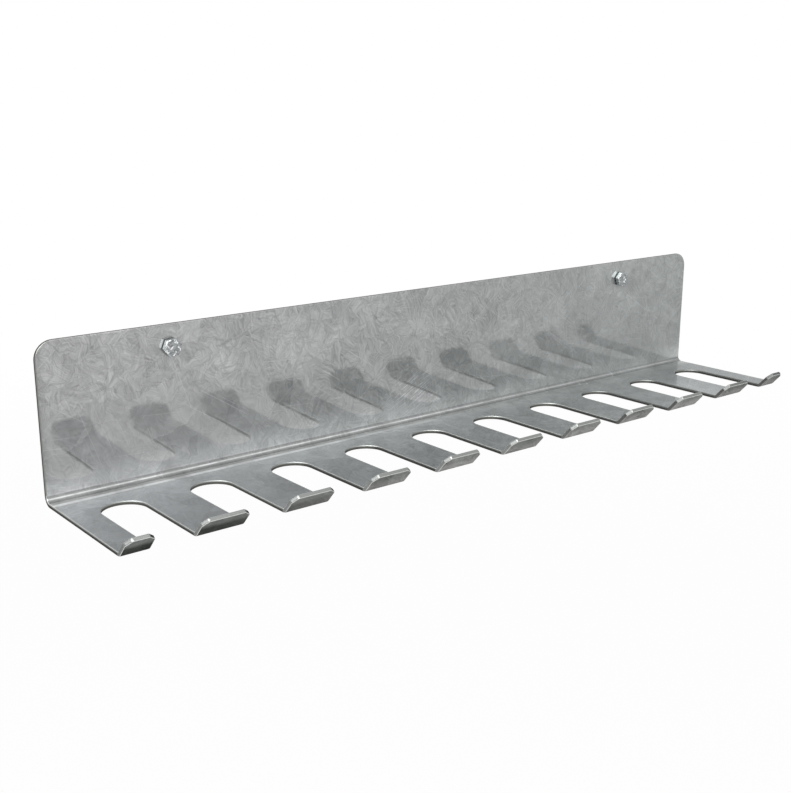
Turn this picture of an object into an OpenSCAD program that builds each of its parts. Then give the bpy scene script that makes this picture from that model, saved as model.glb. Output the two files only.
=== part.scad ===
// Wall rack for pipe clamps: one folded sheet of steel with a row of open slots, held by two lag screws.
// The frame is +X along the rack to the right, +Y into the wall and +Z up, in millimetres.
// The origin lies on the wall plane, midway between the axes of the two screws.

/* [Slots] */
// Number of slots in the row
slot_count = 10; // [4:1:14]
// Width of each slot
slot_w = 28.6; // [22:0.1:36]
// Distance from the middle of one slot to the middle of the next
slot_pitch = 60.4; // [50:0.1:75]
// Width of the finger at each end of the row
end_finger_w = 18.5; // [15:0.1:30]
// Distance from the wall to the round end of the slots
slot_setback = 28.5; // [15:0.1:40]

/* [Sheet] */
// Thickness of the steel sheet
sheet_t = 2.8; // [2:0.05:3.5]
// Height of the back plate, measured from the underside of the shelf
back_h = 103; // [75:1:140]
// Distance from the wall to the line where the fingers begin to bend up
shelf_d = 101; // [85:0.5:130]
// Inside radius of the bend between the back plate and the shelf
back_bend_r = 4; // [1:0.5:8]
// Radius of the two upper corners of the back plate
corner_r = 12; // [3:0.5:20]

/* [Finger tips] */
// Angle that the tips are bent up from the shelf
tip_angle = 48; // [20:1:80]
// Inside radius of the bend at the tips
tip_bend_r = 2; // [1:0.5:5]
// Straight length of a tip beyond its bend
tip_l = 13.5; // [8:0.5:20]
// Length that the clipped corners of a tip lose along each edge
tip_clip = 4; // [1:0.5:6]

/* [Wall screws] */
// Distance from each end of the rack to the axis of the nearest screw
screw_inset = 88.9; // [20:0.1:95]
// Distance from the top edge of the back plate down to the screw axes
screw_drop = 15; // [12:0.5:30]
// Diameter of the plain shank behind the sheet
shank_d = 6.3; // [5.5:0.1:9]
// Length of the plain shank behind the sheet
shank_l = 10; // [7:0.5:30]
// Length of the threaded part, with its point
thread_l = 38; // [20:0.5:60]
// Diameter of the neck under the head, which passes through the sheet
neck_d = 5.9; // [4.5:0.1:6.2]
// Extra diameter of the punched hole around the neck
hole_clearance = 2.1; // [0.5:0.1:2.5]
// Width of the hexagonal head across its flats
head_w = 11.1; // [10.5:0.1:15]
// Height of the hexagonal head
head_t = 4.4; // [3:0.1:7]

/* [Hidden] */
// Steps in the bend at the tips
tip_bend_steps = 12;
// Angles at which the two heads came to rest when tightened, left and right
head_turns = [-8, 13];
// How much narrower the round face of a head is than its width across the flats
head_face_less = 0.5;
// Slope of the bevel between that face and the head's corners, in degrees
head_bevel = 30;
// Distance from one turn of the thread to the next
thread_pitch = 2.5;
// Height of the thread's ridge above its root
thread_depth = 1;
// Share of the pitch that the ridge is wide at its root
ridge_share = 0.55;
// Length over which the thread runs out to the point
point_l = 7;
// Radius left at the very tip of the point
point_r = 0.15;
// Turns of the thread that start inside the shank, before the ridge shows
buried_turns = 1.25;
// Steps in one turn of the thread
thread_sides = 18;
// Length that every cut runs past the faces that it opens
overrun = 1;
$fn = 96;

// Length of the rack, and the heights of its top edge and of the shelf's underside
rack_l = 2 * end_finger_w + slot_w + (slot_count - 1) * slot_pitch;
top_z = screw_drop;
shelf_z = screw_drop - back_h;
// Outside radii of the two bends
back_outer_r = back_bend_r + sheet_t;
tip_outer_r = tip_bend_r + sheet_t;
// Middles of the slots, and the left and right edges of the fingers between them
slot_r = slot_w / 2;
slot_xs = [for (i = [0:slot_count - 1]) (i - (slot_count - 1) / 2) * slot_pitch];
finger_lefts = concat(-rack_l / 2, [for (x = slot_xs) x + slot_r]);
finger_rights = concat([for (x = slot_xs) x - slot_r], rack_l / 2);
// Place of the right-hand screw, the hole that it passes through, and the root of its thread
screw_x = rack_l / 2 - screw_inset;
hole_d = neck_d + hole_clearance;
root_r = shank_d / 2 - thread_depth;

// The back plate, its bend and the flat shelf seen from their end: distance from the wall, and height
module back_section() {
  translate([0, back_outer_r]) square([sheet_t, back_h - back_outer_r]);
  translate([back_outer_r, back_outer_r])
    intersection() {
      difference() {
        circle(r = back_outer_r);
        circle(r = back_bend_r);
      }
      translate([-back_outer_r, -back_outer_r]) square(back_outer_r);
    }
  translate([back_outer_r, 0]) square([shelf_d - back_outer_r, sheet_t]);
}

// A point on a tip's bend, in the frame of its section, at a radius and an angle from its start
function on_tip_bend(r, angle) = [r * sin(angle), tip_outer_r - r * cos(angle)];

// A finger's bent-up tip seen from its end, from the line where it leaves the shelf
module tip_section() {
  angles = [for (i = [0:tip_bend_steps]) tip_angle * i / tip_bend_steps];
  straight = tip_l * [cos(tip_angle), sin(tip_angle)];
  polygon([
    for (angle = angles) on_tip_bend(tip_outer_r, angle),
    on_tip_bend(tip_outer_r, tip_angle) + straight,
    on_tip_bend(tip_bend_r, tip_angle) + straight,
    for (i = [tip_bend_steps:-1:0]) on_tip_bend(tip_bend_r, angles[i])
  ]);
}

// Runs a section along the rack between two places, with its foot at a distance y from the wall
module along_rack(from, to, y) {
  translate([from, -y, shelf_z])
    rotate([90, 0, 90])
    linear_extrude(to - from)
    mirror([1, 0])
    children();
}

// One slot, round at the back and open at the front
module slot_cut(x) {
  back = slot_setback + slot_r;
  translate([x, -back, shelf_z - overrun])
    linear_extrude(sheet_t + 2 * overrun) {
      circle(r = slot_r);
      translate([-slot_r, back - shelf_d - overrun]) square([slot_w, shelf_d + overrun - back]);
    }
}

// A square prism, on its corner, that clips a tip beside its edge at x
module tip_clip_cut(x) {
  translate([x, -shelf_d, shelf_z + tip_outer_r])
    rotate([-tip_angle, 0, 0])
    translate([0, -tip_l, -tip_outer_r - overrun])
    linear_extrude(sheet_t + 2 * overrun)
    circle(r = tip_clip, $fn = 4);
}

// The bent-up tip of one finger, from its left edge to its right one
module finger_tip(left, right) {
  difference() {
    along_rack(left, right, shelf_d) tip_section();
    tip_clip_cut(left);
    tip_clip_cut(right);
  }
}

// What an upper corner of the back plate loses when it is rounded
module corner_cut(side) {
  reach = corner_r + overrun;
  translate([side * (rack_l / 2 - corner_r), overrun, top_z - corner_r])
    rotate([90, 0, 0])
    linear_extrude(sheet_t + 2 * overrun)
    difference() {
      translate([side < 0 ? -reach : 0, 0]) square(reach);
      circle(r = corner_r);
    }
}

// The punched hole that a screw passes through
module screw_hole(side) {
  translate([side * screw_x, overrun, 0])
    rotate([90, 0, 0])
    cylinder(d = hole_d, h = sheet_t + 2 * overrun);
}

module rack_sheet() {
  color("#a8acae") {
    difference() {
      along_rack(-rack_l / 2, rack_l / 2, 0) back_section();
      for (x = slot_xs) slot_cut(x);
      for (side = [-1, 1]) {
        corner_cut(side);
        screw_hole(side);
      }
    }
    for (i = [0:slot_count]) finger_tip(finger_lefts[i], finger_rights[i]);
  }
}

// How full the thread still is at height z, from 1 along its length to 0 at the tip
function fullness(z) = min(1, max(0, (thread_l - z) / point_l));

// A corner of the thread's net: rows 0 and 2 follow the root beside the ridge, and row 1 its crest
function thread_corner(step, row) =
  let (
    z = thread_pitch * (step / thread_sides + row * ridge_share / 2 - buried_turns),
    ridge = row == 1 ? thread_depth * min(1, max(0, z / thread_pitch)) : 0,
    r = point_r + (root_r + ridge - point_r) * fullness(z),
    angle = 360 * step / thread_sides
  )
  [r * cos(angle), r * sin(angle), z];

// The threaded end along +Z: a net of three rows that winds round the axis, starting in the shank
module thread() {
  rows = 3;
  steps = floor((thread_l / thread_pitch + buried_turns - 1) * thread_sides);
  last = steps - thread_sides;
  // The row above the last one is the first row of the next turn
  function at(step, row) = row < rows ? step * rows + row : (step + thread_sides) * rows;
  corners = [for (step = [0:steps], row = [0:rows - 1]) thread_corner(step, row)];
  tail = len(corners);
  tip = tail + 1;
  side_faces = [
    for (step = [0:steps - 1], row = [0:rows - 1])
      if (row < rows - 1 || step < last)
        each [
          [at(step, row), at(step, row + 1), at(step + 1, row)],
          [at(step + 1, row), at(step, row + 1), at(step + 1, row + 1)]
        ]
  ];
  tail_loop = [
    for (step = [0:thread_sides]) at(step, 0),
    for (row = [rows - 1:-1:1]) at(0, row)
  ];
  tip_loop = [
    for (step = [last:steps]) at(step, rows - 1),
    for (row = [rows - 2:-1:0]) at(steps, row)
  ];
  function after(loop, i) = loop[(i + 1) % len(loop)];
  polyhedron(
    concat(corners, [[0, 0, -2 * thread_pitch], [0, 0, thread_l]]),
    concat(
      side_faces,
      [for (i = [0:len(tail_loop) - 1]) [tail_loop[i], after(tail_loop, i), tail]],
      [for (i = [0:len(tip_loop) - 1]) [after(tip_loop, i), tip_loop[i], tip]]
    )
  );
}

// The hexagonal head, from its bevelled face up to its seat at zero height
module screw_head() {
  head_sides = 6;
  face_r = (head_w - head_face_less) / 2;
  corner_reach = head_w / 2 / cos(180 / head_sides);
  bevel_h = (corner_reach - face_r) * tan(head_bevel);
  intersection() {
    translate([0, 0, -head_t]) cylinder(r = corner_reach, h = head_t, $fn = head_sides);
    rotate_extrude() polygon([
      [0, -head_t], [face_r, -head_t], [corner_reach, bevel_h - head_t], [corner_reach, 0], [0, 0]
    ]);
  }
}

// A lag screw along +Z, with its head's seat at zero height
module lag_screw(turn) {
  rotate(turn) screw_head();
  cylinder(d = neck_d, h = sheet_t);
  translate([0, 0, sheet_t]) {
    cylinder(d = shank_d, h = shank_l);
    translate([0, 0, shank_l]) thread();
  }
}

module wall_screw(side, turn) {
  color("#c4c7c9") translate([side * screw_x, -sheet_t, 0]) rotate([-90, 0, 0]) lag_screw(turn);
}

module wall_screw_left() {
  wall_screw(-1, head_turns[0]);
}

module wall_screw_right() {
  wall_screw(1, head_turns[1]);
}

rack_sheet();
wall_screw_left();
wall_screw_right();
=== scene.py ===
import math

import bpy
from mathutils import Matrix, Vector


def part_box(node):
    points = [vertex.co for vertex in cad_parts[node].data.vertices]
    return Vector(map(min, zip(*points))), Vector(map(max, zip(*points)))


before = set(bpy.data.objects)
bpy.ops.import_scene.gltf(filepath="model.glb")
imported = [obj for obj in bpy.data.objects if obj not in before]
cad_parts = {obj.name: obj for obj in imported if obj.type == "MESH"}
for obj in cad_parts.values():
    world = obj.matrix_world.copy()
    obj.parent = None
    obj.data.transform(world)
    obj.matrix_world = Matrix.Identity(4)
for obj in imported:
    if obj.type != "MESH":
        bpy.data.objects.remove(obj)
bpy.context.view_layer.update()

# Sizes of the folded sheet, in metres, as the solids have them
SHEET_T = 0.0028
BACK_BEND_R = 0.004
SHELF_D = 0.101
TIP_BEND_R = 0.002
TIP_ANGLE = math.radians(48)

# The sheet's left end, the shelf's underside and top, where the back bend meets the flat plate and the flat
# shelf, and where the bend of a tip ends
LEFT_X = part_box("rack_sheet")[0][0]
SHELF_LOW_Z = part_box("rack_sheet")[0][2]
SHELF_TOP_Z = SHELF_LOW_Z + SHEET_T
PLATE_LOW_Z = SHELF_TOP_Z + BACK_BEND_R
SHELF_BACK_Y = -SHEET_T - BACK_BEND_R
TIP_BACK_Y = -SHELF_D - (TIP_BEND_R + SHEET_T) * math.sin(TIP_ANGLE)

# The photograph's view: where the camera stands and how it looks
IMAGE_W = 791
IMAGE_H = 793
CAMERA_AT = Vector((-0.5478, -0.65105, 0.15968))
CAMERA_TURN = math.radians(38.51)
CAMERA_DIP = math.radians(15.1)
FOCAL_PIXELS = 1144.5
SENSOR_MM = 36.0
CLIP_START = 0.01

# The studio floor, and the distances over which its share of plain white grows from one value to another
FLOOR_Z = -1.2
FLOOR_HALF = 60.0
FLOOR_COLOR = (0.8, 0.8, 0.8, 1.0)
FLOOR_WHITER = (1.5, 6.0, 0.95, 1.0)

# The light: a soft sky, and square softboxes that look at one place, each with its place, width and watts
WHITE = (1.0, 1.0, 1.0, 1.0)
SKY_STRENGTH = 0.6
LAMPS_AIM = (0, 0, -0.03)
LAMPS = {
    "key": ((-1.5, -0.5, 1.35), 1.7, 50),
    "top": ((-0.25, -1.41, 1.63), 0.9, 22),
    "front": ((-1.25, -1.92, 0.34), 0.9, 9),
}

# How wide edges are rounded on the sheet and on the heads, in how many steps, and from which angle up.
# On the screws only edges no further back than the head's seat are rounded.
SHEET_ROUND = 0.0007
HEAD_ROUND = 0.0003
ROUND_STEPS = 3
SHARP_ANGLE = math.radians(35)
HEAD_SEAT_Y = -SHEET_T + 0.0001
# Points closer together than this gap are joined, and so are faces that meet at less than this angle
WELD_GAP = 1e-6
FLAT_ANGLE = math.radians(0.5)


class Nodes:
    """A node tree, built one call at a time from numbers, tuples and the outputs of earlier calls."""

    def __init__(self, tree):
        self.tree = tree
        self.tree.nodes.clear()

    def node(self, kind, inputs=None, **settings):
        """Adds a node with its settings, and gives its inputs their values or links."""
        made = self.tree.nodes.new(kind)
        for key, value in settings.items():
            setattr(made, key, value)
        for key, value in (inputs or {}).items():
            socket = made.inputs[key]
            if isinstance(value, bpy.types.NodeSocket):
                self.tree.links.new(value, socket)
            else:
                socket.default_value = value
        return made

    def math(self, operation, a, b=0.0, clamp=False):
        return self.node("ShaderNodeMath", {0: a, 1: b}, operation=operation, use_clamp=clamp).outputs[0]

    def plus(self, a, b, clamp=False):
        return self.math("ADD", a, b, clamp)

    def minus(self, a, b, clamp=False):
        return self.math("SUBTRACT", a, b, clamp)

    def times(self, a, b, clamp=False):
        return self.math("MULTIPLY", a, b, clamp)

    def rest(self, share):
        """What a share leaves of 1."""
        return self.minus(1.0, share)

    def larger(self, a, b):
        return self.math("MAXIMUM", a, b)

    def size(self, a):
        """The value without its sign."""
        return self.math("ABSOLUTE", a)

    def above(self, a, limit):
        """1 where a is more than the limit, else 0."""
        return self.math("GREATER_THAN", a, limit)

    def below(self, a, limit):
        """1 where a is less than the limit, else 0."""
        return self.math("LESS_THAN", a, limit)

    def choose(self, test, a, b):
        """a where test is 1, b where it is 0."""
        return self.node("ShaderNodeMix", {0: test, 2: b, 3: a}, data_type="FLOAT").outputs[0]

    def ramp(self, value, low, high, to_low=0.0, to_high=1.0):
        """value from low to high, eased and clamped, as to_low to to_high."""
        inputs = {"Value": value, "From Min": low, "From Max": high, "To Min": to_low, "To Max": to_high}
        return self.node("ShaderNodeMapRange", inputs, interpolation_type="SMOOTHSTEP").outputs["Result"]

    def vector(self, operation, a, b=(0.0, 0.0, 0.0)):
        return self.node("ShaderNodeVectorMath", {0: a, 1: b}, operation=operation).outputs["Vector"]

    def scale(self, vector, factor):
        return self.node("ShaderNodeVectorMath", {0: vector, 3: factor}, operation="SCALE").outputs["Vector"]

    def stretch(self, vector, factors):
        """The coordinates scaled along each axis."""
        return self.vector("MULTIPLY", vector, factors)

    def turn(self, vector, angle):
        """The coordinates turned about Z."""
        inputs = {"Vector": vector, "Angle": angle}
        return self.node("ShaderNodeVectorRotate", inputs, rotation_type="Z_AXIS").outputs[0]

    def length(self, vector):
        return self.node("ShaderNodeVectorMath", {0: vector}, operation="LENGTH").outputs["Value"]

    def dot(self, a, b):
        return self.node("ShaderNodeVectorMath", {0: a, 1: b}, operation="DOT_PRODUCT").outputs["Value"]

    def split(self, vector):
        return self.node("ShaderNodeSeparateXYZ", {0: vector}).outputs

    def join(self, x=0.0, y=0.0, z=0.0):
        return self.node("ShaderNodeCombineXYZ", {0: x, 1: y, 2: z}).outputs[0]

    def noise(self, vector, scale, detail=2.0, roughness=0.5, distortion=0.0):
        inputs = {"Vector": vector, "Scale": scale, "Detail": detail, "Roughness": roughness}
        inputs["Distortion"] = distortion
        return self.node("ShaderNodeTexNoise", inputs).outputs["Fac"]

    def mix(self, share, a, b):
        """Colour a where share is 0, b where it is 1."""
        a, b = ((*color, 1.0) if isinstance(color, tuple) else color for color in (a, b))
        return self.node("ShaderNodeMix", {0: share, 6: a, 7: b}, data_type="RGBA").outputs[2]

    def gradient(self, value, span, colors):
        """The first colour before the span, the second after it, and a mix of them along it."""
        return self.mix(self.ramp(value, *span), *colors)

    def bump(self, height, strength, depth):
        inputs = {"Height": height, "Strength": strength, "Distance": depth}
        return self.node("ShaderNodeBump", inputs).outputs[0]

    def metal(self, color, roughness, bump, tint=1.0):
        """A metal surface. A tint under 1 darkens what it reflects at a slant."""
        inputs = {"Base Color": color, "Metallic": 1.0, "Roughness": roughness, "Normal": bump}
        inputs["Specular Tint"] = (tint, tint, tint, 1.0)
        return self.node("ShaderNodeBsdfPrincipled", inputs).outputs[0]

    def blend(self, share, a, b):
        """Surface a where share is 0, b where it is 1."""
        return self.node("ShaderNodeMixShader", {0: share, 1: a, 2: b}).outputs[0]


class Shader(Nodes):
    """The nodes of a new material."""

    def __init__(self, name):
        self.material = bpy.data.materials.new(name)
        self.material.use_nodes = True
        super().__init__(self.material.node_tree)

    def place(self):
        return self.node("ShaderNodeTexCoord").outputs["Object"]

    def normal(self):
        return self.node("ShaderNodeNewGeometry").outputs["True Normal"]

    def finish(self, surface):
        self.node("ShaderNodeOutputMaterial", {"Surface": surface})
        return self.material


# Below, s stands for a material's nodes and at for the shaded point. A ramp holds where it starts and ends
# and, if not 0 and 1, what it gives there. Its name ends in ALONG where it follows x, in OUT where it follows
# y and in UP where it follows z. A noise holds its scale, detail, roughness and distortion.

# The hollow of the back bend
HOLLOW_UP = (PLATE_LOW_Z - 0.001, PLATE_LOW_Z + 0.0003, 1.0, 0.0)
HOLLOW_OUT = (SHELF_BACK_Y - 0.0003, SHELF_BACK_Y + 0.001)

# How squarely a point faces out of the sheet on a cut edge, on the rounding beside it and on a flat face,
# how far it faces left at the plate's left end, and how squarely outward on a tip, in its bend and beyond
CUT_FACING = (0.35, 0.6, 1.0, 0.0)
ROLLED_FACING = (0.4, 0.6)
FLAT_FACING = (0.93, 0.98, 1.0, 0.0)
LEFT_FACING = (-0.12, -0.06, 1.0, 0.0)
TIP_BEND_FACING = (0.67, 0.9)
TIP_FACING = (0.75, 0.9)
TIP_OUTWARD = (0.0, -math.sin(TIP_ANGLE), -math.cos(TIP_ANGLE))


class SheetPoint:
    """Where the shaded point lies on the folded sheet and how it faces. A test gives 1 or 0."""

    def __init__(self, s):
        self.place = s.place()
        self.x, self.y, self.z = s.split(self.place)
        # The plate and the shelf laid flat: along the rack, and across them
        self.flat = s.join(self.x, s.minus(self.z, self.y))
        self.find_part(s)
        self.find_depth(s)
        self.find_facing(s)
        self.find_edges(s)

    def find_part(self, s):
        """at_back: the plate and its bend; off_tip: the shelf too; off_flat_tip: the tips' bends too."""
        self.at_back = s.above(self.y, SHELF_BACK_Y)
        self.in_plate = s.times(self.at_back, s.above(self.z, PLATE_LOW_Z))
        self.off_tip = s.above(self.y, -SHELF_D)
        self.off_flat_tip = s.above(self.y, TIP_BACK_Y)

    def find_depth(self, s):
        """The depth from the wall side or the underside, measured straight up on the shelf and the tips."""
        from_center = s.join(y=s.minus(self.y, SHELF_BACK_Y), z=s.minus(self.z, PLATE_LOW_Z))
        bend_depth = s.minus(BACK_BEND_R + SHEET_T, s.length(from_center))
        depth = s.choose(self.at_back, bend_depth, s.minus(self.z, SHELF_LOW_Z))
        self.depth = s.choose(self.in_plate, s.times(self.y, -1.0), depth)
        self.in_front = s.above(self.depth, SHEET_T / 2)
        hollow = s.times(s.ramp(self.z, *HOLLOW_UP), s.ramp(self.y, *HOLLOW_OUT))
        self.hollow = s.times(hollow, self.in_front)

    def find_facing(self, s):
        """How squarely the point faces out of the sheet: 1 on its two faces, 0 on a cut edge."""
        normal = s.normal()
        nx, ny, nz = s.split(normal)
        self.nx = nx
        self.across = s.size(nx)
        self.tip_facing = s.dot(normal, TIP_OUTWARD)
        bend_facing = s.math("SQRT", s.minus(1.0, s.times(nx, nx), clamp=True))
        # From the tips back to the plate, each choice takes over from the one before it
        facing = s.choose(self.off_flat_tip, bend_facing, s.size(self.tip_facing))
        facing = s.choose(self.off_tip, s.size(nz), facing)
        facing = s.choose(self.at_back, bend_facing, facing)
        self.facing = s.choose(self.in_plate, s.size(ny), facing)

    def find_edges(self, s):
        """Cut edges, the rounding beside them, and the outside of the tips."""
        self.left_side = s.times(self.in_plate, s.ramp(self.nx, *LEFT_FACING))
        self.cut = s.larger(s.ramp(self.facing, *CUT_FACING), self.left_side)
        rolled = s.times(s.ramp(self.facing, *ROLLED_FACING), s.ramp(self.facing, *FLAT_FACING))
        self.rolled = s.times(rolled, s.rest(self.in_plate))
        bend_outside = s.ramp(self.tip_facing, *TIP_BEND_FACING)
        tip_outside = s.choose(self.off_flat_tip, bend_outside, s.ramp(self.tip_facing, *TIP_FACING))
        self.tip_outside = s.times(s.rest(self.off_tip), tip_outside)


# Two layers of zinc crystals: how many to a metre, a shift that tells them apart, the scale of their grain
# along and across it, and the layer's share of the grain
CRYSTAL_LAYERS = ((52.0, 0.0, 60.0, 820.0, 0.55), (34.0, 7.3, 45.0, 600.0, 0.45))
CRYSTAL_SECTOR = 2 * math.pi / 6
CRYSTAL_WARP = 0.011
WARP_NOISE = {"Scale": 70.0, "Detail": 3.0}
GRAIN_LEAN = 0.45
GRAIN_SPREAD = 3.0
GRAIN_NOISE = (1.0, 3.0, 0.6, 0.3)


def crystal_layer(s, place, scale, shift, length, width):
    """One layer's grain, fanned out from each crystal's middle in six sectors, and each crystal's tone."""
    start = s.vector("ADD", place, (shift, shift, shift))
    warp = s.node("ShaderNodeTexNoise", {"Vector": start, **WARP_NOISE}).outputs["Color"]
    bent = s.vector("ADD", start, s.scale(warp, CRYSTAL_WARP))
    cells = s.node("ShaderNodeTexVoronoi", {"Vector": bent, "Scale": scale, "Randomness": 1.0}).outputs
    own_turn, own_part, own_tone = s.node("ShaderNodeSeparateColor", {0: cells["Color"]}).outputs
    mx, my, mz = s.split(s.vector("SUBTRACT", bent, cells["Position"]))
    out = s.minus(mz, my)
    turn = s.times(own_turn, 2 * math.pi)
    angle = s.plus(s.math("ARCTAN2", out, mx), turn)
    sector = s.times(s.math("ROUND", s.math("DIVIDE", angle, CRYSTAL_SECTOR)), CRYSTAL_SECTOR)
    grain_angle = s.plus(s.minus(sector, turn), GRAIN_LEAN)
    spot = s.join(mx, out, s.times(own_part, GRAIN_SPREAD))
    turned = s.turn(spot, s.times(grain_angle, -1.0))
    return s.noise(s.stretch(turned, (length, width, 1.0)), *GRAIN_NOISE), own_tone


def crystals(s, place):
    """The grain and the tone of all layers together."""
    feather = 0.0
    tone = 0.0
    for *pattern, share in CRYSTAL_LAYERS:
        grain, own_tone = crystal_layer(s, place, *pattern)
        feather = s.plus(s.times(grain, share), feather)
        tone = s.plus(s.times(own_tone, 1 / len(CRYSTAL_LAYERS)), tone)
    return feather, tone


# Sets of fine scratches: their angle in degrees, a shift that tells them apart, and the level that makes one
SCRATCH_SETS = ((33, 0.0, 0.70), (-41, 3.1, 0.725), (71, 5.7, 0.73), (4, 9.2, 0.725))
SCRATCH_STRETCH = (11.0, 1500.0, 1.0)
SCRATCH_NOISE = (1.0, 1.0, 0.5)
SCRATCH_START = -0.015
SCRATCH_FULL = 0.03


def scratch_lines(s, flat):
    """Fine straight scratches in several directions."""
    scratches = 0.0
    for degrees, shift, level in SCRATCH_SETS:
        lines = s.turn(s.vector("ADD", flat, (shift, shift, 0.0)), math.radians(degrees))
        lines = s.noise(s.stretch(lines, SCRATCH_STRETCH), *SCRATCH_NOISE)
        scratches = s.plus(s.ramp(lines, level + SCRATCH_START, level + SCRATCH_FULL), scratches, clamp=True)
    return scratches


# A patch of parallel scuffs low on the plate, which fade out from its middle, and two specks of zinc
SCUFFS_AT = (-0.016, -SHEET_T, -0.070)
SCUFFS_PATCH = (0.012, 0.034, 1.0, 0.0)
SCUFFS_ANGLE = math.radians(-27)
SCUFFS_STRETCH = (70.0, 1100.0, 1.0)
SCUFFS_NOISE = (1.0, 1.0)
SCUFFS_LEVEL = (0.55, 0.62)
SPECKS_AT = ((0.166, -0.0072, SHELF_TOP_Z), (0.172, -0.0100, SHELF_TOP_Z))
SPECK_EDGE = (0.0007, 0.0013, 1.0, 0.0)


def scuff_marks(s, at):
    """A patch of scuffs on the front of the plate."""
    from_middle = s.length(s.vector("SUBTRACT", at.place, SCUFFS_AT))
    lines = s.noise(s.stretch(s.turn(at.flat, SCUFFS_ANGLE), SCUFFS_STRETCH), *SCUFFS_NOISE)
    scuffs = s.times(s.ramp(lines, *SCUFFS_LEVEL), s.ramp(from_middle, *SCUFFS_PATCH))
    return s.times(scuffs, s.times(at.in_plate, at.in_front))


def zinc_specks(s, place):
    """Specks of zinc on the shelf, beside the back bend."""
    specks = 0.0
    for speck in SPECKS_AT:
        from_middle = s.length(s.vector("SUBTRACT", place, speck))
        specks = s.plus(s.ramp(from_middle, *SPECK_EDGE), specks)
    return specks


# A painted highlight: a bright line in the hollow of the back bend. A mark of the press: a fainter, broader
# line on the shelf. Each wanders a little, breaks up here and there, and fades to the right.
WANDER_STRETCH = (40.0, 6.0, 6.0)
WANDER_NOISE = (1.0, 4.0, 0.65)
CREASE_Z = SHELF_TOP_Z + 0.00175
CREASE_WANDER = 0.0002
CREASE_EDGE = (0.00015, 0.0006, 1.0, 0.0)
CREASE_BREAKS = (0.35, 0.65, 0.5, 1.2)
CREASE_ALONG = (-0.05, 0.15, 0.36, 0.18)
SHELF_LINE_Y = SHELF_BACK_Y - 0.0047
SHELF_LINE_WANDER = 0.001
SHELF_LINE_EDGE = (0.0008, 0.0028, 1.0, 0.0)
SHELF_LINE_BREAKS = (0.35, 0.6, 0.5, 1.0)
SHELF_LINE_ALONG = (-0.16, 0.08, 0.75, 0.0)


def press_marks_and_highlight(s, at):
    """A painted highlight along the hollow of the back bend, and how bright the press left the zinc beside
    it.
    """
    wander = s.noise(s.stretch(at.place, WANDER_STRETCH), *WANDER_NOISE)
    # The painted highlight in the hollow of the back bend
    off = s.size(s.plus(s.minus(at.z, CREASE_Z), s.times(wander, CREASE_WANDER)))
    crease_highlight = s.times(s.ramp(off, *CREASE_EDGE), s.ramp(wander, *CREASE_BREAKS))
    crease_highlight = s.times(crease_highlight, s.ramp(at.x, *CREASE_ALONG))
    # The line the press rubbed on the shelf
    off = s.size(s.plus(s.minus(at.y, SHELF_LINE_Y), s.times(wander, SHELF_LINE_WANDER)))
    shelf_line = s.times(s.ramp(off, *SHELF_LINE_EDGE), s.ramp(wander, *SHELF_LINE_BREAKS))
    shelf_line = s.times(shelf_line, s.ramp(at.x, *SHELF_LINE_ALONG))
    on_shelf_front = s.times(at.in_front, s.below(at.z, PLATE_LOW_Z))
    return s.times(s.plus(crease_highlight, shelf_line), on_shelf_front, clamp=True)


# Strength of the crystals along the rack, and how much calmer they are low down
CONTRAST_ALONG = (-0.1, 0.2, 2.0, 1.5)
CALM_UP = (-0.02, -0.045, 0.0, 0.55)
CALM_ALONG = (-0.2, -0.1, 1.0, 0.4)
# Clouds and blotches in the coating, and how much each pattern shades it
CLOUD_NOISE = (45.0, 5.0, 0.6, 0.8)
BLOTCH_NOISE = (8.0, 4.0, 0.55, 0.4)
PATTERN_MEAN = 0.5
TONE_SHADE = 0.14
CLOUD_SHADE = 0.45
BLOTCH_SHADE = 0.35


def coating_shade(s, at, feather, tone, cloud):
    """How much lighter or darker the coating is than its mean."""
    calm = s.times(s.ramp(at.z, *CALM_UP), s.ramp(at.x, *CALM_ALONG))
    contrast = s.times(s.ramp(at.x, *CONTRAST_ALONG), s.rest(calm))
    shade = s.times(s.minus(feather, PATTERN_MEAN), contrast)
    blotch = s.noise(at.place, *BLOTCH_NOISE)
    for pattern, amount in ((tone, TONE_SHADE), (cloud, CLOUD_SHADE), (blotch, BLOTCH_SHADE)):
        shade = s.plus(shade, s.times(s.minus(pattern, PATTERN_MEAN), amount))
    return shade


# Colours of the plate and the shelf, each from left to right, and where one goes over into the other
# The plate is lighter at its left end as painted light, and greener at its right end in its tone
PLATE_ALONG = (-0.36, 0.36)
PLATE_COLORS = ((0.381, 0.384, 0.383), (0.327, 0.342, 0.338))
SHELF_ALONG = (-0.34, 0.1)
SHELF_COLORS = ((0.50, 0.52, 0.535), (0.37, 0.39, 0.39))
SHELF_OUT = (SHELF_BACK_Y - 0.002, SHELF_BACK_Y - 0.014)
# The shelf is darker at its right end, and duller towards its front on the left
SHELF_END_ALONG = (0.2, 0.29, 1.0, 0.7)
DULLED_OUT = (-0.035, -0.085, 0.0, 0.25)
DULLED_ALONG = (-0.1, 0.06, 1.0, 0.0)
# Both get painted light near the inner corner, less so on the shelf to the right, and painted shade in the
# hollow itself
CORNER_PAINTED_LIGHT = (0.006, 0.021, 0.32, 0.0)
LESS_CORNER_LIGHT_OUT = (SHELF_BACK_Y + 0.001, SHELF_BACK_Y - 0.002)
LESS_CORNER_LIGHT_ALONG = (0.02, 0.15, 0.0, 0.6)
HOLLOW_PAINTED_SHADE = 0.42
# The plate has a darker band down its left end
BAND_ALONG = (LEFT_X, LEFT_X + 0.006, 0.2, 0.0)
BAND_UP = (-0.075, -0.055)


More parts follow.
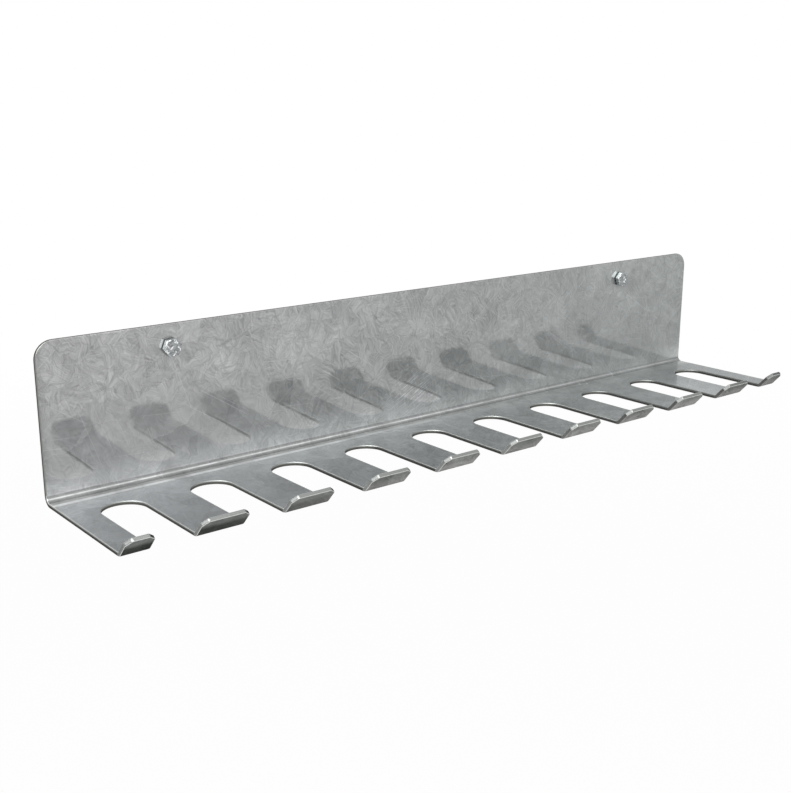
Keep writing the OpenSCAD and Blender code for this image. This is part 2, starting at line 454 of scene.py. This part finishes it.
def coating_color(s, at, shade):
    """The colour of the coating without marks, with painted light and shade about the back bend and painted
    light at the plate's left end.
    """
    plate = s.gradient(at.x, PLATE_ALONG, PLATE_COLORS)
    shelf = s.gradient(at.x, SHELF_ALONG, SHELF_COLORS)
    shelf = s.scale(shelf, s.ramp(at.x, *SHELF_END_ALONG))
    dulled = s.times(s.ramp(at.y, *DULLED_OUT), s.ramp(at.x, *DULLED_ALONG))
    shelf = s.scale(shelf, s.rest(dulled))
    color = s.mix(s.ramp(at.y, *SHELF_OUT), plate, shelf)
    color = s.scale(color, s.plus(shade, 1.0))
    # Painted light on both sides of the back bend, and painted shade in its hollow
    from_corner = s.larger(s.minus(at.z, SHELF_TOP_Z), s.minus(-SHEET_T, at.y))
    corner_light = s.times(s.ramp(from_corner, *CORNER_PAINTED_LIGHT), at.in_front)
    less = s.times(s.ramp(at.y, *LESS_CORNER_LIGHT_OUT), s.ramp(at.x, *LESS_CORNER_LIGHT_ALONG))
    color = s.scale(color, s.plus(s.times(corner_light, s.rest(less)), 1.0))
    color = s.scale(color, s.rest(s.times(at.hollow, HOLLOW_PAINTED_SHADE)))
    band = s.times(s.ramp(at.x, *BAND_ALONG), s.ramp(at.z, *BAND_UP))
    return s.scale(color, s.rest(band))


# Along this stretch of the rack the sides of the tips turn dark
DARK_TIPS_ALONG = (-0.04, 0.1)
# Colours of the roundings beside the cut edges, from left to right
RIM_ALONG = (0.05, 0.15)
RIM_COLORS = ((0.22, 0.23, 0.225), (0.11, 0.115, 0.11))
# Those that face sideways are paler, but for the right end's
RIM_SIDE = (0.3, 0.6)
RIM_SIDE_ALONG = (0.11, 0.16, 1.0, 0.0)
RIM_SIDE_COLOR = (0.43, 0.44, 0.43)
# On the tips they are bright, but for those of the dark sides
TIP_RIM_SIDE = (0.58, 0.66)
TIP_RIM_COLORS = ((0.66, 0.67, 0.66), (0.20, 0.20, 0.195))


def rim_color(s, at):
    """The colour of the roundings beside the cut edges."""
    rim = s.gradient(at.x, RIM_ALONG, RIM_COLORS)
    side = s.times(s.ramp(at.across, *RIM_SIDE), s.ramp(at.x, *RIM_SIDE_ALONG))
    rim = s.mix(side, rim, RIM_SIDE_COLOR)
    dark_side = s.times(s.ramp(at.across, *TIP_RIM_SIDE), s.ramp(at.x, *DARK_TIPS_ALONG))
    return s.mix(at.off_tip, s.mix(dark_side, *TIP_RIM_COLORS), rim)


# Colours outside the tips from left to right, and further up: painted shade for the dark things they reflect,
# darkest at the left
OUTSIDE_ALONG = (-0.28, -0.04)
OUTSIDE_COLORS = ((0.06, 0.064, 0.058), (0.40, 0.405, 0.39))
OUTSIDE_UP = (SHELF_TOP_Z + 0.002, SHELF_TOP_Z + 0.006, 0.0, 0.7)
OUTSIDE_TOP_COLOR = (0.27, 0.28, 0.27)
# How much more the coating's shade shows on them, and where painted light makes them lightest
OUTSIDE_SHADE = 2.0
TIP_PAINTED_LIGHT_X = 0.13
TIP_PAINTED_LIGHT_NEAR = (0.05, 0.12, 1.2, 1.0)


def tip_outside_color(s, at, shade):
    """The colour of the outside of the tips: painted shade, lighter where painted light falls."""
    color = s.gradient(at.x, OUTSIDE_ALONG, OUTSIDE_COLORS)
    color = s.mix(s.ramp(at.z, *OUTSIDE_UP), color, OUTSIDE_TOP_COLOR)
    color = s.scale(color, s.plus(s.times(shade, OUTSIDE_SHADE), 1.0))
    return s.scale(color, s.ramp(s.size(s.minus(at.x, TIP_PAINTED_LIGHT_X)), *TIP_PAINTED_LIGHT_NEAR))


# Colours of the cut edges: dark, but burnished towards the front, less so at the plate's left end
EDGE_COLORS = ((0.065, 0.063, 0.055), (0.24, 0.25, 0.24))
BURNISHED_DEPTH = (SHEET_T / 2, 0.8 * SHEET_T)
LEFT_LESS_BURNISHED = 0.35
# Those that face sideways are darker to the right
SIDE_FACING = (0.8, 0.95)
SIDE_DARKER_ALONG = (-0.22, -0.1, 0.2, 0.65)
EDGE_GAIN = 1.25
# On the tips the end, the clipped corners and the sides each differ
TIP_END_ALONG = (0.2, 0.28)
TIP_END_COLORS = ((0.27, 0.28, 0.27), (0.16, 0.165, 0.16))
TIP_CLIP_DARKER = (0.62, 0.7, 1.0, 0.4)
TIP_SIDE_COLORS = ((0.27, 0.28, 0.27), (0.11, 0.11, 0.105))


def cut_edge_color(s, at):
    """The colour of the cut edges."""
    less = s.times(at.left_side, LEFT_LESS_BURNISHED)
    burnished = s.times(s.ramp(at.depth, *BURNISHED_DEPTH), s.rest(less))
    sideways = s.ramp(at.across, *SIDE_FACING)
    darker = s.times(sideways, s.ramp(at.x, *SIDE_DARKER_ALONG))
    edge = s.scale(s.mix(burnished, *EDGE_COLORS), s.minus(EDGE_GAIN, darker))
    tip_end = s.gradient(at.x, TIP_END_ALONG, TIP_END_COLORS)
    tip_end = s.scale(tip_end, s.ramp(at.across, *TIP_CLIP_DARKER))
    tip_side = s.gradient(at.x, DARK_TIPS_ALONG, TIP_SIDE_COLORS)
    return s.mix(at.off_tip, s.mix(sideways, tip_end, tip_side), edge)


# The sheet's fine relief: its strength and depth, weaker in the hollow, and what raises it or cuts into it
BUMP_SHARE = 0.25
BUMP_DEPTH = 0.0001
HOLLOW_SMOOTHER = 0.18
GRAIN_HEIGHT = 0.3
POWDER_NOISE = (500.0, 3.0)
POWDER_HEIGHT = 0.25
SCRATCH_DEPTH = 0.6
WAVE_NOISE = (18.0, 2.0)
WAVE_HEIGHT = 1.5
# How far the plate seems to lean forward in its reflections, eased in above the bend
PLATE_LEAN = math.radians(1.8)
LEAN_EASED = 0.004
LEAN_OUT = (-0.03, -0.01)


def sheet_relief(s, at, feather, scratches):
    """The sheet's fine relief, and a slope over the plate that leans its reflections forward."""
    powder = s.times(s.noise(at.place, *POWDER_NOISE), POWDER_HEIGHT)
    height = s.plus(s.times(feather, GRAIN_HEIGHT), powder)
    height = s.minus(height, s.times(scratches, SCRATCH_DEPTH))
    height = s.plus(height, s.times(s.noise(at.place, *WAVE_NOISE), WAVE_HEIGHT))
    up_plate = {0: s.minus(at.z, PLATE_LOW_Z), 1: 0.0, 2: LEAN_EASED}
    lean = s.node("ShaderNodeMath", up_plate, operation="SMOOTH_MAX").outputs[0]
    lean = s.times(lean, s.ramp(at.y, *LEAN_OUT))
    height = s.plus(height, s.times(lean, math.tan(PLATE_LEAN) / (BUMP_SHARE * BUMP_DEPTH)))
    return s.bump(height, s.minus(BUMP_SHARE, s.times(at.hollow, HOLLOW_SMOOTHER)), BUMP_DEPTH)


# Colours of the marks and of the painted highlight, and how much of the coating each covers
SCRATCH_COLOR = (0.62, 0.63, 0.64)
SPECK_COLOR = (0.85, 0.87, 0.85)
RUBBED_AND_HIGHLIGHT_COLOR = (0.92, 0.94, 0.95)
SCRATCH_COVER = 0.4
SCUFF_COVER = 0.7
RIM_COVER = 0.85
WORN_AND_SHADED_COVER = 0.95

# Roughness of the clear reflection, of the haze over it and of worn metal and the painted shade outside the
# tips, and how much of the haze there is
CLEAR_ROUGH = 0.06
CLEAR_ROUGH_CLOUDS = 0.04
HAZE_ROUGH = 0.55
WORN_AND_SHADED_ROUGH = 0.36
WORN_AND_SHADED_TINT = 0.3
HAZE_SHARE = 0.4
HAZE_TONE = 0.2
HAZE_RUBBED_AND_HIGHLIGHT = 0.3
HAZE_ALONG = (0.0, 0.2, 0.0, 0.2)


def galvanised_steel():
    """Zinc-coated sheet: a clear reflection under a haze, but bare, dull steel on its cut edges and painted
    shade outside the tips.
    """
    s = Shader("galvanised_steel")
    at = SheetPoint(s)
    feather, tone = crystals(s, at.place)
    cloud = s.noise(at.place, *CLOUD_NOISE)
    scratches = scratch_lines(s, at.flat)
    rubbed_and_highlight = press_marks_and_highlight(s, at)
    shade = coating_shade(s, at, feather, tone, cloud)

    color = coating_color(s, at, shade)
    color = s.mix(s.times(scratches, SCRATCH_COVER), color, SCRATCH_COLOR)
    color = s.mix(s.times(scuff_marks(s, at), SCUFF_COVER), color, SCRATCH_COLOR)
    color = s.mix(zinc_specks(s, at.place), color, SPECK_COLOR)
    # Painted highlight in the back bend, and the press's rubbed line on the shelf
    color = s.mix(rubbed_and_highlight, color, RUBBED_AND_HIGHLIGHT_COLOR)
    color = s.mix(s.times(at.rolled, RIM_COVER), color, rim_color(s, at))
    # The cut edges' own dark steel, and painted shade outside the tips
    worn_and_shaded_color = s.mix(at.cut, tip_outside_color(s, at, shade), cut_edge_color(s, at))

    bump = sheet_relief(s, at, feather, scratches)
    clear_rough = s.plus(s.times(s.minus(cloud, PATTERN_MEAN), CLEAR_ROUGH_CLOUDS), CLEAR_ROUGH)
    hazy = s.plus(s.times(tone, HAZE_TONE), s.plus(s.times(rubbed_and_highlight, HAZE_RUBBED_AND_HIGHLIGHT), HAZE_SHARE))
    hazy = s.plus(hazy, s.plus(at.rolled, s.ramp(at.x, *HAZE_ALONG)), clamp=True)
    coated = s.blend(hazy, s.metal(color, clear_rough, bump), s.metal(color, HAZE_ROUGH, bump))
    # Worn metal on the cut edges, and painted shade outside the tips
    worn_and_shaded = s.larger(s.times(at.cut, WORN_AND_SHADED_COVER), s.times(at.tip_outside, WORN_AND_SHADED_COVER))
    return s.finish(s.blend(worn_and_shaded, coated, s.metal(worn_and_shaded_color, WORN_AND_SHADED_ROUGH, bump, WORN_AND_SHADED_TINT)))


# The screws: how squarely a head's face looks forward, how far the painted shade reaches from its seat, the
# grain of the zinc, and bright spots on the face
HEAD_FACING = (0.9, 0.97)
SEAT_EDGE = (0.0008, 0.0013, 1.0, 0.0)
ZINC_NOISE = (900.0, 3.0, 0.6)
SPOT_NOISE = (520.0, 1.0, 0.4, 0.3)
SPOT_LEVEL = (0.58, 0.66)
FLATS_LEVEL = (0.35, 0.65)
FLATS_COLORS = ((0.39, 0.41, 0.42), (0.49, 0.515, 0.525))
FACE_LEVEL = (0.4, 0.6)
FACE_COLORS = ((0.20, 0.21, 0.215), (0.36, 0.375, 0.38))
SPOT_COLOR = (0.85, 0.87, 0.88)
SEAT_SHADE_COLOR = (0.025, 0.027, 0.026)
SEAT_SHADE_COVER = 0.95
ZINC_ROUGH = 0.08
ZINC_ROUGH_GRAIN = 0.1
ZINC_ROUGH_FACE = 0.1
ZINC_GRAIN_HEIGHT = 0.3
ZINC_BUMP_SHARE = 0.4
ZINC_BUMP_DEPTH = 0.0001


def zinc_plate():
    """Bright zinc on the screws: clean flats with painted shade at the seat, and a duller face with bright
    spots.
    """
    s = Shader("zinc_plate")
    place = s.place()
    face = s.ramp(s.size(s.split(s.normal())["Y"]), *HEAD_FACING)
    seat = s.ramp(s.size(s.plus(s.split(place)["Y"], SHEET_T)), *SEAT_EDGE)
    grain = s.noise(place, *ZINC_NOISE)
    spots = s.ramp(s.noise(place, *SPOT_NOISE), *SPOT_LEVEL)
    color = s.gradient(grain, FLATS_LEVEL, FLATS_COLORS)
    dull = s.mix(spots, s.gradient(grain, FACE_LEVEL, FACE_COLORS), SPOT_COLOR)
    color = s.mix(face, color, dull)
    # Painted shade: a dark line along the flats where the head meets the plate
    color = s.mix(s.times(seat, SEAT_SHADE_COVER), color, SEAT_SHADE_COLOR)
    rough = s.plus(s.times(grain, ZINC_ROUGH_GRAIN), s.plus(s.times(face, ZINC_ROUGH_FACE), ZINC_ROUGH))
    height = s.plus(s.times(grain, ZINC_GRAIN_HEIGHT), s.times(spots, face))
    return s.finish(s.metal(color, rough, s.bump(height, ZINC_BUMP_SHARE, ZINC_BUMP_DEPTH)))


def seen_by_rays(s):
    """1 for rays from the camera, mirror rays and rays through glass, else 0."""
    path = s.node("ShaderNodeLightPath").outputs
    return s.larger(s.larger(path["Is Camera Ray"], path["Is Glossy Ray"]), path["Is Transmission Ray"])


def floor_material():
    """A matt white floor that shows as white, more so further away, and keeps the object's shadow."""
    s = Shader("studio_floor")
    matt = s.node("ShaderNodeBsdfDiffuse", {"Color": FLOOR_COLOR}).outputs[0]
    lit = s.node("ShaderNodeEmission", {"Color": WHITE, "Strength": 1.0}).outputs[0]
    share = s.times(seen_by_rays(s), s.ramp(s.length(s.place()), *FLOOR_WHITER))
    return s.finish(s.blend(share, matt, lit))


def add_floor():
    mesh = bpy.data.meshes.new("floor")
    h = FLOOR_HALF
    mesh.from_pydata([(-h, -h, 0), (h, -h, 0), (h, h, 0), (-h, h, 0)], [], [(0, 1, 2, 3)])
    floor = bpy.data.objects.new("floor", mesh)
    floor.location = (0, 0, FLOOR_Z)
    mesh.materials.append(floor_material())
    bpy.context.scene.collection.objects.link(floor)


def set_world():
    """A soft white sky, which the camera and mirror rays see at full strength."""
    world = bpy.data.worlds.new("studio")
    world.use_nodes = True
    bpy.context.scene.world = world
    w = Nodes(world.node_tree)
    soft = w.node("ShaderNodeBackground", {"Color": WHITE, "Strength": SKY_STRENGTH}).outputs[0]
    full = w.node("ShaderNodeBackground", {"Color": WHITE, "Strength": 1.0}).outputs[0]
    w.node("ShaderNodeOutputWorld", {"Surface": w.blend(seen_by_rays(w), soft, full)})


def add_softbox(name, place, width, power):
    lamp = bpy.data.lights.new(name, "AREA")
    lamp.shape = "RECTANGLE"
    lamp.size = width
    lamp.size_y = width
    lamp.energy = power
    obj = bpy.data.objects.new(name, lamp)
    obj.location = place
    obj.rotation_euler = (Vector(LAMPS_AIM) - Vector(place)).to_track_quat("-Z", "Y").to_euler()
    bpy.context.scene.collection.objects.link(obj)


def add_camera():
    data = bpy.data.cameras.new("camera")
    data.sensor_width = SENSOR_MM
    data.lens = FOCAL_PIXELS / max(IMAGE_W, IMAGE_H) * SENSOR_MM
    data.clip_start = CLIP_START
    camera = bpy.data.objects.new("camera", data)
    camera.location = CAMERA_AT
    camera.rotation_euler = (math.pi / 2 - CAMERA_DIP, 0, -CAMERA_TURN)
    bpy.context.scene.collection.objects.link(camera)
    bpy.context.scene.camera = camera


def head_edge_marker():
    """Geometry nodes that mark the heads' sharp edges, but not the one inside the seat, for a bevel."""
    tree = bpy.data.node_groups.new("sharp_edges", "GeometryNodeTree")
    for way in ("INPUT", "OUTPUT"):
        tree.interface.new_socket("Geometry", in_out=way, socket_type="NodeSocketGeometry")
    g = Nodes(tree)
    sharp = g.above(g.node("GeometryNodeInputMeshEdgeAngle").outputs["Signed Angle"], SHARP_ANGLE)
    place = g.node("GeometryNodeInputPosition").outputs[0]
    on_head = g.below(g.split(place)["Y"], HEAD_SEAT_Y)
    mesh = g.node("NodeGroupInput").outputs[0]
    inputs = {"Geometry": mesh, "Name": "bevel_weight_edge", "Value": g.times(sharp, on_head)}
    marked = g.node("GeometryNodeStoreNamedAttribute", inputs, data_type="FLOAT", domain="EDGE")
    g.node("NodeGroupOutput", {0: marked.outputs[0]})
    return tree


def dress(node, material, width, marker=None):
    """Gives a CAD piece its material and rounds its sharp edges a little, or those that a marker picks."""
    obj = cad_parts[node]
    obj.data.materials.clear()
    obj.data.materials.append(material)
    weld = obj.modifiers.new("weld", "WELD")
    weld.merge_threshold = WELD_GAP
    flats = obj.modifiers.new("flats", "DECIMATE")
    flats.decimate_type = "DISSOLVE"
    flats.angle_limit = FLAT_ANGLE
    if marker:
        obj.modifiers.new("mark", "NODES").node_group = marker
    bevel = obj.modifiers.new("bevel", "BEVEL")
    bevel.width = width
    bevel.segments = ROUND_STEPS
    bevel.limit_method = "WEIGHT" if marker else "ANGLE"
    bevel.angle_limit = SHARP_ANGLE
    bevel.use_clamp_overlap = False
    smooth = obj.modifiers.new("smooth", "WEIGHTED_NORMAL")
    smooth.keep_sharp = True


add_camera()
add_floor()
set_world()
for name, lamp in LAMPS.items():
    add_softbox(name, *lamp)

steel = galvanised_steel()
zinc = zinc_plate()
heads_alone = head_edge_marker()
dress("rack_sheet", steel, SHEET_ROUND)
for screw in ("wall_screw_left", "wall_screw_right"):
    dress(screw, zinc, HEAD_ROUND, heads_alone)

scene = bpy.context.scene
scene.view_settings.view_transform = "Standard"
